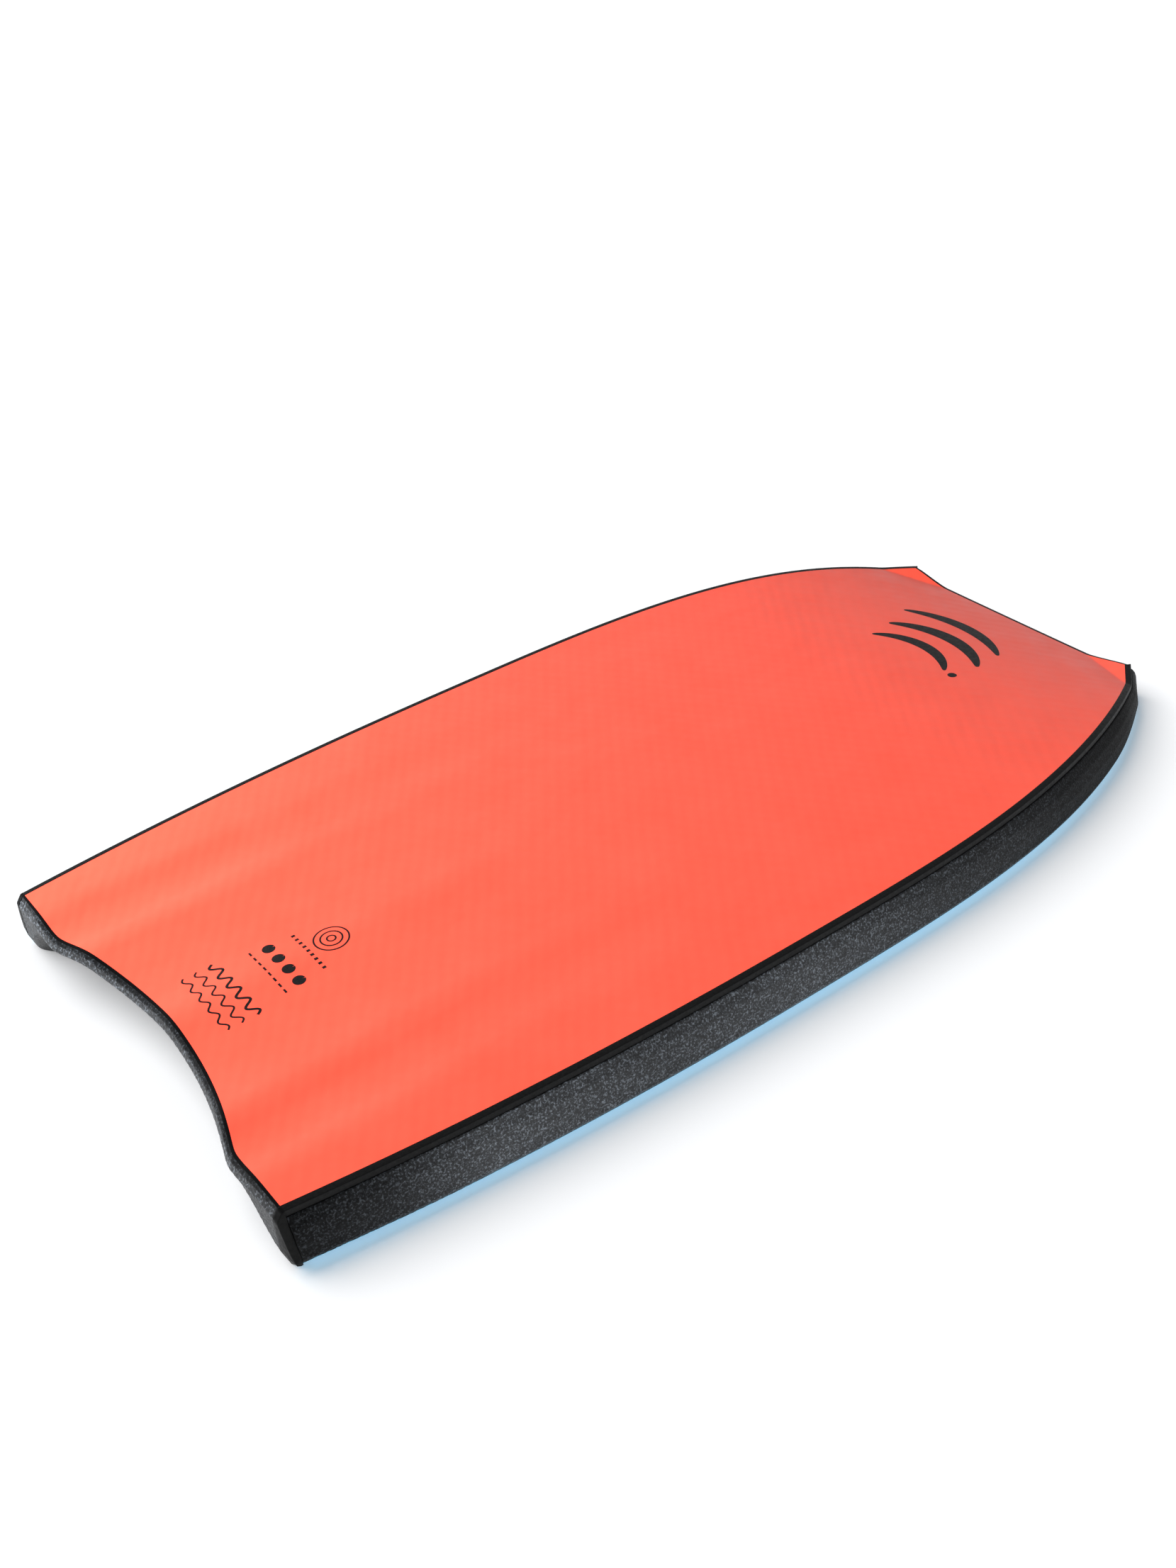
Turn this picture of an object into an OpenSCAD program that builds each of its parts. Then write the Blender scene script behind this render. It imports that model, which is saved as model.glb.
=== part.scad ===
// Bodyboard, lying on its deck with the slick bottom skin uppermost.
// X runs from the tail to the nose, Y across the board, Z up from the deck plane.
// "Left" is +Y and "right" is -Y. The origin is the centre of the footprint at deck level.

/* [Board] */
// Length of the slick skin, from the tail corners to the nose edge
board_length = 1067; // [960:1:1140]
// Thickness from the deck plane to the top of the slick skin
board_thickness = 60; // [54:1:66]
// Width of the slick skin at its widest point
wide_width = 554; // [500:2:580]
// Distance of the widest point from the tail, as a part of the length
wide_place = 0.47; // [0.40:0.01:0.55]
// Width of the slick skin at the tail corners
tail_width = 496; // [450:2:520]
// Width of the slick skin where the nose corners begin
shoulder_width = 354; // [330:2:380]
// Width of the slick skin at the nose edge
nose_width = 306; // [280:2:320]

/* [Slick shape] */
// Drop of the slick skin towards the nose, on the centre line
nose_drop = 28.5; // [20:0.5:32]
// Drop of the slick skin along its side edges, before the corner facets turn up
edge_drop_depth = 28; // [18:0.5:30]
// Place where the nose drop begins, as a part of the length
drop_start = 0.62; // [0.5:0.01:0.75]
// Height by which the corner facets turn up from the nose surface
facet_lift = 8; // [4:1:10]
// Depth of the wide hollow across the tail
hollow_depth = 3; // [0:0.5:6]
// Depth of the channels in the tail
channel_depth = 4; // [0:0.5:5]
// Distance of the two outer channel ridges from the centre line
ridge_place = 136; // [110:1:150]

/* [Tail] */
// Depth of the crescent cut into the tail
crescent_depth = 31; // [10:1:45]
// Half-width of the crescent
crescent_reach = 172; // [140:1:190]
// How far the tail wall leans towards the nose at deck level, in the crescent
crescent_undercut = 39; // [20:1:42]

/* [Rails] */
// Thickness of the inner rail strip
inner_rail = 6.5; // [4:0.5:9]
// Distance from the slick edge out to the rail apex
rail_reach = 20.5; // [16:0.5:24]
// Height of the rail apex above the deck plane, amidships
apex_height = 10.5; // [9:0.5:16]
// Height of the rail apex above the deck plane, at the tail corners
tail_apex_height = 13; // [10:0.5:20]
// Depth of the step between the inner strip and the outer band
rail_step = 6; // [3:0.5:8]

/* [Skins] */
// Thickness of the slick bottom skin
slick_t = 1.5; // [1:0.1:3]
// Thickness of each reinforcing mesh sheet
mesh_t = 0.8; // [0.5:0.1:1.5]
// Thickness of the deck skin
deck_t = 5; // [3:0.5:6]

/* [Stringer] */
// Outer diameter of the stringer tube
stringer_d = 12; // [8:0.5:16]
// Inner diameter of the stringer tube
stringer_bore = 9; // [5:0.5:12]
// Height of the stringer axis above the deck plane
stringer_z = 29; // [24:1:32]
// Distance of the stringer's tail end from the tail corners
stringer_start = 84; // [84:1:150]
// Length of the stringer tube
stringer_length = 860; // [400:10:870]
// Length of the foam plug at each end of the stringer
plug_length = 20; // [10:1:20]

/* [Hidden] */

foam_white = [0.86, 0.87, 0.85];
mesh_grey = [0.35, 0.37, 0.38];
coral = [1.0, 0.42, 0.33];
deck_blue = [0.55, 0.75, 0.86];
rail_black = [0.13, 0.13, 0.14];
band_grey = [0.22, 0.23, 0.24];
carbon_black = [0.08, 0.08, 0.09];

half_wide = wide_width / 2;
half_tail = tail_width / 2;
half_shoulder = shoulder_width / 2;
half_nose = nose_width / 2;
wide_x = board_length * wide_place;
corner_x = board_length + 2;      // the nose corners stand just past the nose edge
shoulder_x = board_length - 26;   // where the nose corners begin
drop_x = board_length * drop_start;
kink_y = 105;                     // where the fold of a corner facet meets the nose edge
channel_end = board_length * 0.54; // and have died away before this one
channel_start = 30;               // the channels are at full depth behind this line
outer_channel = 72;               // width of the two outer channels
tail_reach = 8;                   // how far the tail band stands out at the corners
nose_reach = 8;                   // how far the nose rail stands out
corner_reach = rail_reach - 6;    // how far the side rails stand out at the nose corners

// The middle of the whole board's length, rails included
mid_x = (corner_x + corner_reach - tail_reach) / 2;

// Powers of the curves that the outline and the drops follow
tail_power = 2.3;
nose_power = 3.1;
centre_drop_power = 3.2;
edge_drop_power = 4.3;
edge_blend_power = 2.5;
channel_fade_power = 1.6;

crescent_softness = 0.08;         // rounding where the crescent meets the straight ends
straight_start = 190;             // where the tail wall begins to stand up straight
lean_fade = 200;                  // length over which the tail wall's lean dies away inside
apex_fade = 140;                  // length over which the rail apex comes down from the tail

function clamp01(t) = min(max(t, 0), 1);
function ease(t) = let (c = clamp01(t)) c * c * (3 - 2 * c);
function mix(a, b, t) = a + (b - a) * t;
function hump(t) = max(0, 1 - t * t);
function soft_floor(t, k) = (t + sqrt(t * t + k * k)) / 2;

// ---- plan shape ---------------------------------------------------------------------------
// Half-width of the slick skin at a distance x from the tail corners
function half_width(x) =
    x < wide_x ? half_wide - (half_wide - half_tail) * pow((wide_x - x) / wide_x, tail_power)
  : x < shoulder_x ? half_wide - (half_wide - half_shoulder)
                     * pow((x - wide_x) / (shoulder_x - wide_x), nose_power)
  : mix(half_shoulder, half_nose, (x - shoulder_x) / (corner_x - shoulder_x));

// Tail edge of the slick skin at a distance y from the centre line
function tail_edge(y) =
    crescent_depth * soft_floor(1 - pow(y / crescent_reach, 2), crescent_softness);

// 0 along the crescent, 1 at the tail corners
function cornering(y) = ease((abs(y) - straight_start) / (half_tail - straight_start));

// How far the tail wall has leaned towards the nose by the time it reaches the deck plane
function undercut(y) = crescent_undercut * (1 - cornering(y));

// Nose edge of the slick skin, where v is y as a part of the half-width
function nose_edge(v) = mix(board_length, corner_x, ease((abs(v) - 0.7) / 0.3));

// ---- height of the slick skin's top -------------------------------------------------------
function drop_part(x) = max(0, (x - drop_x) / (board_length - drop_x));

// The corner facets turn up past a fold line. "facet" is 0 on the fold and 1 at the nose corner
fold_dx = shoulder_x - board_length;
fold_dy = half_shoulder - kink_y;
function fold_side(x, y) = (x - board_length) * fold_dy - (abs(y) - kink_y) * fold_dx;
function facet(x, y) = clamp01(fold_side(x, y) / fold_side(corner_x, half_nose));

function centre_drop(x) = nose_drop * pow(drop_part(x), centre_drop_power);
function edge_drop(x) = edge_drop_depth * pow(drop_part(x), edge_drop_power);

function channels(y) = abs(y) < ridge_place
    ? hump(2 * abs(y) / ridge_place - 1)
    : hump(2 * (abs(y) - ridge_place) / outer_channel - 1);
function tail_hollow(x, y) =
    pow(1 - clamp01((x - channel_start) / (channel_end - channel_start)), channel_fade_power)
  * (hollow_depth * hump(abs(y) / (ridge_place + outer_channel)) + channel_depth * channels(y));

function slick_z(x, y) = board_thickness
    - mix(centre_drop(x), edge_drop(x), pow(min(1, abs(y) / half_width(x)), edge_blend_power))
    + facet_lift * facet(x, y) - tail_hollow(x, y);

function apex_z(x) = mix(tail_apex_height, apex_height, ease(x / apex_fade));

// ---- grid of the stacked layers -----------------------------------------------------------
bow_steps = 30;
corner_steps = 3;
bow_spacing = 1.25; // above 1, the stations crowd towards the nose
stations = concat(
    [for (i = [0:bow_steps - 1]) shoulder_x * (1 - pow(1 - i / bow_steps, bow_spacing))],
    [for (i = [0:corner_steps]) mix(shoulder_x, corner_x, i / corner_steps)]);
rows = len(stations);

half_lines = concat(
    [for (k = [0:5]) k / 6 * ridge_place],
    [for (k = [0:3]) ridge_place + k / 4 * outer_channel],
    [for (k = [0:2]) mix(ridge_place + outer_channel, half_tail, k / 2)]);
lines = concat(
    [for (k = [len(half_lines) - 1:-1:1]) -half_lines[k] / half_tail],
    [for (k = [0:len(half_lines) - 1]) half_lines[k] / half_tail]);
cols = len(lines);

// A point of the stack: station i, line v, and the height law "level", which is a depth
// below the slick's top when slick_side is true and a height above the deck plane otherwise
function stack_point(i, v, level, slick_side) =
    let (y0 = v * half_tail,
         x_top = mix(tail_edge(y0), nose_edge(v), stations[i] / corner_x),
         y_top = half_width(x_top) * v,
         z_top = slick_z(x_top, y_top),
         z = slick_side ? z_top - level : level,
         lean = undercut(y0) * (z_top - z) / z_top * (1 - ease(stations[i] / lean_fade)))
    [x_top + lean - mid_x, y_top, z];

function layer_points(level, slick_side) =
    [for (i = [0:rows - 1]) for (v = lines) stack_point(i, v, level, slick_side)];

function quads(ni, nj, at, up) =
    [for (i = [0:ni - 2]) for (j = [0:nj - 2])
        let (a = at + i * nj + j, b = a + 1, c = a + nj + 1, d = a + nj)
        for (t = up ? [[a, b, c], [a, c, d]] : [[a, c, b], [a, d, c]]) t];

function rim(ni, nj) = concat(
    [for (i = [0:ni - 1]) i * nj],
    [for (j = [1:nj - 1]) (ni - 1) * nj + j],
    [for (i = [ni - 2:-1:0]) i * nj + nj - 1],
    [for (j = [nj - 2:-1:1]) j]);

function walls(loop, shift) =
    [for (k = [0:len(loop) - 1])
        let (a = loop[k], b = loop[(k + 1) % len(loop)])
        for (t = [[a, b, b + shift], [a, b + shift, a + shift]]) t];

// One layer of the stack, between two level laws
module layer(top_level, top_is_slick, low_level, low_is_slick) {
    count = rows * cols;
    points = concat(layer_points(top_level, top_is_slick), layer_points(low_level, low_is_slick));
    faces = concat(quads(rows, cols, 0, true), quads(rows, cols, count, false),
                   walls(rim(rows, cols), count));
    polyhedron(points = points, faces = faces, convexity = 6);
}

// A flat sheet of the stack: each face is a fan about the board's middle
module flat_layer(high, low) {
    loop = rim(rows, cols);
    count = len(loop);
    top = layer_points(high, false);
    bottom = layer_points(low, false);
    points = concat([for (k = loop) top[k]], [for (k = loop) bottom[k]], [[0, 0, high], [0, 0, low]]);
    fans = [for (k = [0:count - 1])
        let (next = (k + 1) % count)
        for (t = [[next, k, 2 * count], [count + k, count + next, 2 * count + 1]]) t];
    around = [for (k = [0:count - 1]) k];
    polyhedron(points = points, faces = concat(fans, walls(around, count)), convexity = 6);
}

// ---- rings swept along an edge ------------------------------------------------------------
module sweep(rings) {
    n = len(rings);
    m = len(rings[0]);
    points = [for (r = rings) for (p = r) p];
    sides = [for (i = [0:n - 2]) for (k = [0:m - 1])
        let (a = i * m + k, b = i * m + (k + 1) % m, c = b + m, d = a + m)
        for (t = [[a, b, c], [a, c, d]]) t];
    start = [for (k = [m - 1:-1:0]) k];
    finish = [for (k = [0:m - 1]) (n - 1) * m + k];
    polyhedron(points = points, faces = concat(sides, [start], [finish]), convexity = 8);
}

// Direction in which the side rail stands out at station i: square to the edge along the
// side, straight across at the tail end and on the mitre at the nose corner
corner_mitre = 0.468;
function unit(v) = v / norm(v);
function edge_point(i) = [stations[i], half_width(stations[i])];
function edge_out(i) =
    i == 0 ? [0, 1]
  : i == rows - 1 ? [1, corner_mitre]
  : let (d = unit(edge_point(i + 1) - edge_point(i - 1))) [-d[1], d[0]];

reach_start = 940;
function reach(x) =
    mix(rail_reach, corner_reach, ease((x - reach_start) / (corner_x - reach_start)));

// A ring of the side rail: profile is a list of [outward, z]
function rail_ring(i, profile) =
    let (p = edge_point(i), o = edge_out(i))
    [for (q = profile) [p[0] + q[0] * o[0] - mid_x, p[1] + q[0] * o[1], q[1]]];

chine_seat = 8; // the chine strip is this wide under the outer band
chine_foot = 3; // the chine meets the deck plane this far outside the slick edge
apex_bevel = 1.8;
apex_bevel_h = 4.5;
band_lip = 2;
band_lip_h = 1.5;

function seat(x) = reach(x) - apex_bevel - chine_seat;
function seat_z(x) = mix(deck_t, apex_z(x), inner_rail / seat(x));

function inner_profile(x) =
    let (top = slick_z(x, half_width(x)))
    [[0, top], [inner_rail, top - 0.5], [inner_rail, seat_z(x)], [0, deck_t]];

function outer_profile(x) =
    let (top = slick_z(x, half_width(x)) - rail_step,
         r = reach(x),
         low = apex_z(x) + apex_bevel_h,
         lip = top - band_lip_h)
    [[inner_rail, top], [inner_rail + band_lip, lip],
     [mix(inner_rail + band_lip, r, 0.5), mix(lip, low, 0.25)],
     [mix(inner_rail + band_lip, r, 0.83), mix(lip, low, 0.58)],
     [r, low], [r - apex_bevel, apex_z(x)], [seat(x), apex_z(x)], [inner_rail, seat_z(x)]];

function chine_profile(x) =
    [[0, 0], [0, deck_t], [seat(x), apex_z(x)], [reach(x) - apex_bevel, apex_z(x)],
     [chine_foot, 0]];

// ---- the sub-parts ------------------------------------------------------------------------
core_top = slick_t + mesh_t;
core_low = deck_t + mesh_t;
bore_d = stringer_d + 0.4;
tube_start = stringer_start - mid_x;
tube_end = tube_start + stringer_length;

module rod(from, to, d) {
    translate([from, 0, stringer_z])
        rotate([0, 90, 0])
            cylinder(h = to - from, d = d, $fn = 48);
}

module foam_core() {
    color(foam_white)
        difference() {
            layer(core_top, true, core_low, false);
            rod(-mid_x, tube_end + plug_length, bore_d);
        }
}

module stringer_tube() {
    color(carbon_black)
        difference() {
            rod(tube_start, tube_end, stringer_d);
            rod(tube_start - 1, tube_end + 1, stringer_bore);
        }
}

module stringer_tail_plug() {
    color(foam_white) rod(tube_start - plug_length, tube_start, stringer_d);
}

module stringer_nose_plug() {
    color(foam_white) rod(tube_end, tube_end + plug_length, stringer_d);
}

module bottom_mesh() {
    color(mesh_grey) layer(slick_t, true, core_top, true);
}

module deck_mesh() {
    color(mesh_grey) flat_layer(core_low, deck_t);
}

module slick_skin() {
    color(coral) layer(0, true, slick_t, true);
}

module deck_skin() {
    color(deck_blue) flat_layer(deck_t, 0);
}

module chine_strip() {
    color(deck_blue)
        sweep([for (i = [0:rows - 1]) rail_ring(i, chine_profile(stations[i]))]);
}

module inner_rail_strip() {
    color(rail_black)
        sweep([for (i = [0:rows - 1]) rail_ring(i, inner_profile(stations[i]))]);
}

module outer_rail_band() {
    color(band_grey)
        sweep([for (i = [0:rows - 1]) rail_ring(i, outer_profile(stations[i]))]);
}

module chine_left() { chine_strip(); }
module chine_right() { mirror([0, 1, 0]) chine_strip(); }
module inner_rail_left() { inner_rail_strip(); }
module inner_rail_right() { mirror([0, 1, 0]) inner_rail_strip(); }
module outer_rail_left() { outer_rail_band(); }
module outer_rail_right() { mirror([0, 1, 0]) outer_rail_band(); }

// Profile of the tail band, as [outward, z]: a narrow border level with the slick, a sloping
// lip, a rounded shoulder, and a wall that leans in under the crescent or stands at the corners
border = 2.2;
border_fall = 0.4;
lip_fall = 2.5;
shoulder_fall = 8;
face_fall = 10;
foot_t = 3;
crescent_lip = 6;
corner_lip = 3.8;
crescent_reach_out = 8.6;
wall_low = 16;
function tail_profile(y, top, foot) =
    let (c = cornering(y), out = mix(crescent_reach_out, tail_reach, c))
    [[0, top], [-foot, 0], [foot_t - foot, 0], [out, mix(top - face_fall, wall_low, c)],
     [out, top - shoulder_fall], [mix(crescent_lip, corner_lip, c), top - lip_fall],
     [border, top - border_fall]];

function tail_ring(v) =
    let (y = v * half_tail, p = stack_point(0, v, 0, true), q = stack_point(0, v, 0, false))
    [for (t = tail_profile(y, p[2], q[0] - p[0])) [p[0] - t[0], y, t[1]]];

module tail_band() {
    color(band_grey) sweep([for (j = [cols - 1:-1:0]) tail_ring(lines[j])]);
}

// The tail corners close the ends of the side rails. A corner's rings stand at these
// distances outside the slick edge, and each is thinner than the last
corner_offsets = [0, chine_foot, inner_rail, inner_rail + band_lip, 12, 15, rail_reach - 0.6];
corner_rounding = 0.6;
function part(a, from, to) = clamp01((a - from) / (to - from));
function rail_top(a) = board_thickness
    - mix(0, 0.5, part(a, 0, inner_rail))
    - mix(0, rail_step + band_lip_h - 0.5, part(a, inner_rail, inner_rail + band_lip))
    - mix(0, board_thickness - rail_step - band_lip_h - tail_apex_height - apex_bevel_h,
          part(a, inner_rail + band_lip, rail_reach));
function rail_low(a) = mix(0, tail_apex_height, part(a, chine_foot, rail_reach));
function corner_ring(a) =
    let (top = rail_top(a), low = rail_low(a), h = top - low,
         thin = sqrt(1 - corner_rounding * pow(a / rail_reach, 2)),
         wall = tail_reach * thin)
    [for (t = [[0, top], [0, low], [foot_t * thin, low],
               [wall, low + min(wall_low, 0.3 * h)],
               [wall, top - min(shoulder_fall, 0.4 * h)],
               [corner_lip * thin, top - min(lip_fall, 0.15 * h)],
               [border * thin, top - min(border_fall, 0.05 * h)]])
        [-mid_x - t[0], half_tail + a, t[1]]];

module tail_corner() {
    color(band_grey)
        sweep([for (k = [len(corner_offsets) - 1:-1:0]) corner_ring(corner_offsets[k])]);
}
module tail_corner_left() { tail_corner(); }
module tail_corner_right() { mirror([0, 1, 0]) tail_corner(); }

// Ring of the nose rail, on the mitre at its two ends
nose_border = 3.5;
nose_wall_low = 10;
nose_shoulder = 6.5;
nose_shoulder_fall = 7;
function nose_ring(j) =
    let (p = stack_point(rows - 1, lines[j], 0, true),
         side = j == 0 ? -corner_mitre : j == cols - 1 ? corner_mitre : 0)
    [for (q = [[0, p[2]], [0, 0], [chine_foot, 0], [nose_reach, nose_wall_low],
               [nose_shoulder, p[2] - nose_shoulder_fall],
               [nose_border, p[2] - border_fall]])
        [p[0] + q[0], p[1] + q[0] * side, q[1]]];

module nose_rail() {
    color(rail_black) sweep([for (j = [0:cols - 1]) nose_ring(j)]);
}

foam_core();
stringer_tube();
stringer_tail_plug();
stringer_nose_plug();
bottom_mesh();
deck_mesh();
slick_skin();
deck_skin();
chine_left();
chine_right();
inner_rail_left();
inner_rail_right();
outer_rail_left();
outer_rail_right();
tail_band();
tail_corner_left();
tail_corner_right();
nose_rail();
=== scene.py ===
"""Bodyboard, slick side up: skins, rails, print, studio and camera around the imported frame."""

import math

import bpy
import numpy as np
from mathutils import Matrix, Vector


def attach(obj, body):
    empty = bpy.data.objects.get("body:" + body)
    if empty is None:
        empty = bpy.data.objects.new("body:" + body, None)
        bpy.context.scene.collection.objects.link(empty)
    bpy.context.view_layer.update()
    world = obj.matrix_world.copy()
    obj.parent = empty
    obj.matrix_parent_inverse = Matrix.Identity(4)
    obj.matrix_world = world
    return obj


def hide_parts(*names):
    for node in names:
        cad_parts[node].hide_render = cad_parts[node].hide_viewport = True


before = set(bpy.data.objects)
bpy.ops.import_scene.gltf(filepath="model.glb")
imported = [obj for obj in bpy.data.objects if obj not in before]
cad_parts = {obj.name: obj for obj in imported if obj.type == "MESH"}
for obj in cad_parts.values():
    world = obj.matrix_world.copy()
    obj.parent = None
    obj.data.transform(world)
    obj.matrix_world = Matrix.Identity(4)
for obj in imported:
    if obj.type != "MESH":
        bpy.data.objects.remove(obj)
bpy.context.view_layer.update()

MM = 0.001

# ---- driving dimensions, in millimetres; the two places are shares of LENGTH ----------------
LENGTH = 1067.0
THICKNESS = 60.0
WIDE = 554.0
WIDE_PLACE, DROP_START = 0.47, 0.62
TAIL_WIDTH, SHOULDER_WIDTH, NOSE_WIDTH = 496.0, 354.0, 306.0
NOSE_DROP, EDGE_DROP, FACET_LIFT = 28.5, 28.0, 8.0
HOLLOW, CHANNEL, RIDGE = 3.0, 4.0, 136.0
CRESCENT_DEPTH, CRESCENT_REACH, CRESCENT_UNDERCUT = 31.0, 172.0, 39.0
INNER_RAIL, RAIL_REACH, APEX, TAIL_APEX, RAIL_STEP = 6.5, 20.5, 10.5, 13.0, 6.0
SLICK_T, DECK_T = 1.5, 5.0

# ---- derived values ------------------------------------------------------------------------
HALF_WIDE, HALF_TAIL = WIDE / 2, TAIL_WIDTH / 2
HALF_SHOULDER, HALF_NOSE = SHOULDER_WIDTH / 2, NOSE_WIDTH / 2
WIDE_X, CORNER_X, SHOULDER_X = LENGTH * WIDE_PLACE, LENGTH + 2, LENGTH - 26
DROP_X, KINK_Y = LENGTH * DROP_START, 105.0
CHANNEL_START, CHANNEL_END, OUTER_CHANNEL = 30.0, LENGTH * 0.54, 72.0
TAIL_REACH, NOSE_REACH, CORNER_REACH = 8.0, 8.0, RAIL_REACH - 6
REACH_START, MITRE = 940.0, 0.468
STRAIGHT_START, LEAN_FADE, APEX_FADE = 190.0, 200.0, 140.0
CHINE_SEAT, CHINE_FOOT, APEX_BEVEL, APEX_BEVEL_H, BAND_LIP, BAND_LIP_H = 8.0, 3.0, 1.8, 4.5, 2.0, 1.5
MID_X = (CORNER_X + CORNER_REACH - TAIL_REACH) / 2
FOLD_SOFT = 2.5      # rounding of the folds of the nose corner facets
RIDGE_SOFT = 13.0    # the ridges are averaged this far to each side; in the CAD they are sharp

# powers of the curves: outline, fall of the nose, blend to the edge and fading of the channels
REAR_POWER, FRONT_POWER = 2.3, 3.1
NOSE_POWER, EDGE_POWER, ACROSS_POWER, FADE_POWER = 3.2, 4.3, 2.5, 1.6


def ease(t):
    c = np.clip(t, 0, 1)
    return c * c * (3 - 2 * c)


def mix(a, b, t):
    return a + (b - a) * t


def hump(t):
    return np.maximum(0, 1 - t * t)


def soft_positive(t, k):
    """max(t, 0) with its corner rounded over a width of about k."""
    return (t + np.sqrt(t * t + k * k)) / 2


# ---- the board's shape: x runs from the tail corners, y from the centre line, z from the deck
def half_width(x):
    x = np.asarray(x, float)
    rear = HALF_WIDE - (HALF_WIDE - HALF_TAIL) * np.maximum((WIDE_X - x) / WIDE_X, 0) ** REAR_POWER
    front = HALF_WIDE - (HALF_WIDE - HALF_SHOULDER) * np.clip(
        (x - WIDE_X) / (SHOULDER_X - WIDE_X), 0, 1) ** FRONT_POWER
    corner = mix(HALF_SHOULDER, HALF_NOSE, (x - SHOULDER_X) / (CORNER_X - SHOULDER_X))
    return np.where(x < WIDE_X, rear, np.where(x < SHOULDER_X, front, corner))


def tail_edge(y):
    return CRESCENT_DEPTH * soft_positive(1 - (y / CRESCENT_REACH) ** 2, 0.08)


def cornering(y):
    return ease((np.abs(y) - STRAIGHT_START) / (HALF_TAIL - STRAIGHT_START))


def undercut(y):
    return CRESCENT_UNDERCUT * (1 - cornering(y))


def nose_edge(v):
    return mix(LENGTH, CORNER_X, ease((np.abs(v) - 0.7) / 0.3))


def drop_part(x):
    return np.maximum(0, (x - DROP_X) / (LENGTH - DROP_X))


def facet(x, y):
    """How far past the fold of a nose corner facet: 0 on the fold and 1 at the corner."""
    dx, dy = SHOULDER_X - LENGTH, HALF_SHOULDER - KINK_Y
    side = (x - LENGTH) * dy - (np.abs(y) - KINK_Y) * dx
    full = (CORNER_X - LENGTH) * dy - (HALF_NOSE - KINK_Y) * dx
    return np.minimum(soft_positive(side / full, FOLD_SOFT / 60), 1.02)


def channels(y):
    inner = hump(2 * soft_positive(np.abs(y), 1) / RIDGE - 1)
    outer = hump(2 * (np.abs(y) - RIDGE) / OUTER_CHANNEL - 1)
    return np.where(np.abs(y) < RIDGE, inner, outer)


def soft_channels(y):
    """The channels with their ridges rounded, as an average over a few millimetres."""
    steps = np.linspace(-RIDGE_SOFT, RIDGE_SOFT, 9)
    return sum(channels(y + s) for s in steps) / len(steps)


def slick_z(x, y):
    centre = NOSE_DROP * drop_part(x) ** NOSE_POWER
    edge = EDGE_DROP * drop_part(x) ** EDGE_POWER
    across = np.minimum(1, np.abs(y) / half_width(x)) ** ACROSS_POWER
    fade = 1 - np.clip((x - CHANNEL_START) / (CHANNEL_END - CHANNEL_START), 0, 1)
    hollow = fade ** FADE_POWER * (
        HOLLOW * hump(np.abs(y) / (RIDGE + OUTER_CHANNEL)) + CHANNEL * soft_channels(y))
    return THICKNESS - mix(centre, edge, across) + FACET_LIFT * facet(x, y) - hollow


def apex_z(x):
    return mix(TAIL_APEX, APEX, ease(x / APEX_FADE))


def reach(x):
    return mix(RAIL_REACH, CORNER_REACH, ease((x - REACH_START) / (CORNER_X - REACH_START)))


def seat(x):
    return reach(x) - APEX_BEVEL - CHINE_SEAT


def seat_z(x):
    return mix(DECK_T, apex_z(x), INNER_RAIL / seat(x))


# ---- mesh helpers --------------------------------------------------------------------------
def make_piece(name, points, faces, nodes=()):
    """A mesh from points in millimetres and a list of faces, riding on the board's one body."""
    mesh = bpy.data.meshes.new(name)
    mesh.from_pydata((np.asarray(points, float) * MM).tolist(), [], faces)
    mesh.validate()
    mesh.update()
    mesh.shade_smooth()
    piece = bpy.data.objects.new(name, mesh)
    bpy.context.collection.objects.link(piece)
    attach(piece, "root")
    if nodes:
        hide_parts(*nodes)
    return piece


def grid_faces(rows, cols, closed=False, start=0, flip=False):
    """Quads of a rows by cols grid. With closed, each row is a ring."""
    i, j = np.meshgrid(np.arange(rows - 1), np.arange(cols if closed else cols - 1), indexing="ij")
    a = start + i * cols + j
    b = start + i * cols + (j + 1) % cols
    quads = np.stack([a, b, b + cols, a + cols], -1).reshape(-1, 4)
    return (quads[:, ::-1] if flip else quads).tolist()


def sweep(name, rings, nodes=(), flip=False):
    """A closed tube through rings of points, with its two ends capped."""
    rings = np.asarray(rings)
    rows, cols = rings.shape[:2]
    faces = grid_faces(rows, cols, closed=True, flip=flip)
    first, last = list(range(cols)), list(range((rows - 1) * cols, rows * cols))
    faces += [first if flip else first[::-1], last[::-1] if flip else last]
    return make_piece(name, rings.reshape(-1, 3), faces, nodes)


def sharpen(piece, degrees):
    """Splits the shading where faces meet at more than this angle."""
    piece.data.set_sharp_from_angle(angle=math.radians(degrees))


def rounded(corners):
    """A closed outline through corners given as (x, z, radius), with arcs at the corners."""
    made = []
    n = len(corners)
    for k in range(n):
        p = np.array(corners[k][:2], float)
        radius = corners[k][2]
        before = np.array(corners[k - 1][:2], float) - p
        after = np.array(corners[(k + 1) % n][:2], float) - p
        if radius <= 0:
            made.append(p)
            continue
        a, b = before / np.linalg.norm(before), after / np.linalg.norm(after)
        half = math.acos(float(np.clip(a @ b, -1, 1))) / 2
        reach_back = min(radius / math.tan(half), np.linalg.norm(before) * 0.49,
                         np.linalg.norm(after) * 0.49)
        start, end = p + a * reach_back, p + b * reach_back
        for t in np.linspace(0, 1, 6):
            made.append((1 - t) ** 2 * start + 2 * t * (1 - t) * p + t * t * end)
    return np.array(made)


def resample(outline, count):
    """A closed outline redrawn with evenly spaced points, its first point kept."""
    loop = np.vstack([outline, outline[:1]])
    length = np.r_[0, np.cumsum(np.linalg.norm(np.diff(loop, axis=0), axis=1))]
    at = np.linspace(0, length[-1], count, endpoint=False)
    return np.stack([np.interp(at, length, loop[:, k]) for k in range(2)], -1)


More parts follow.
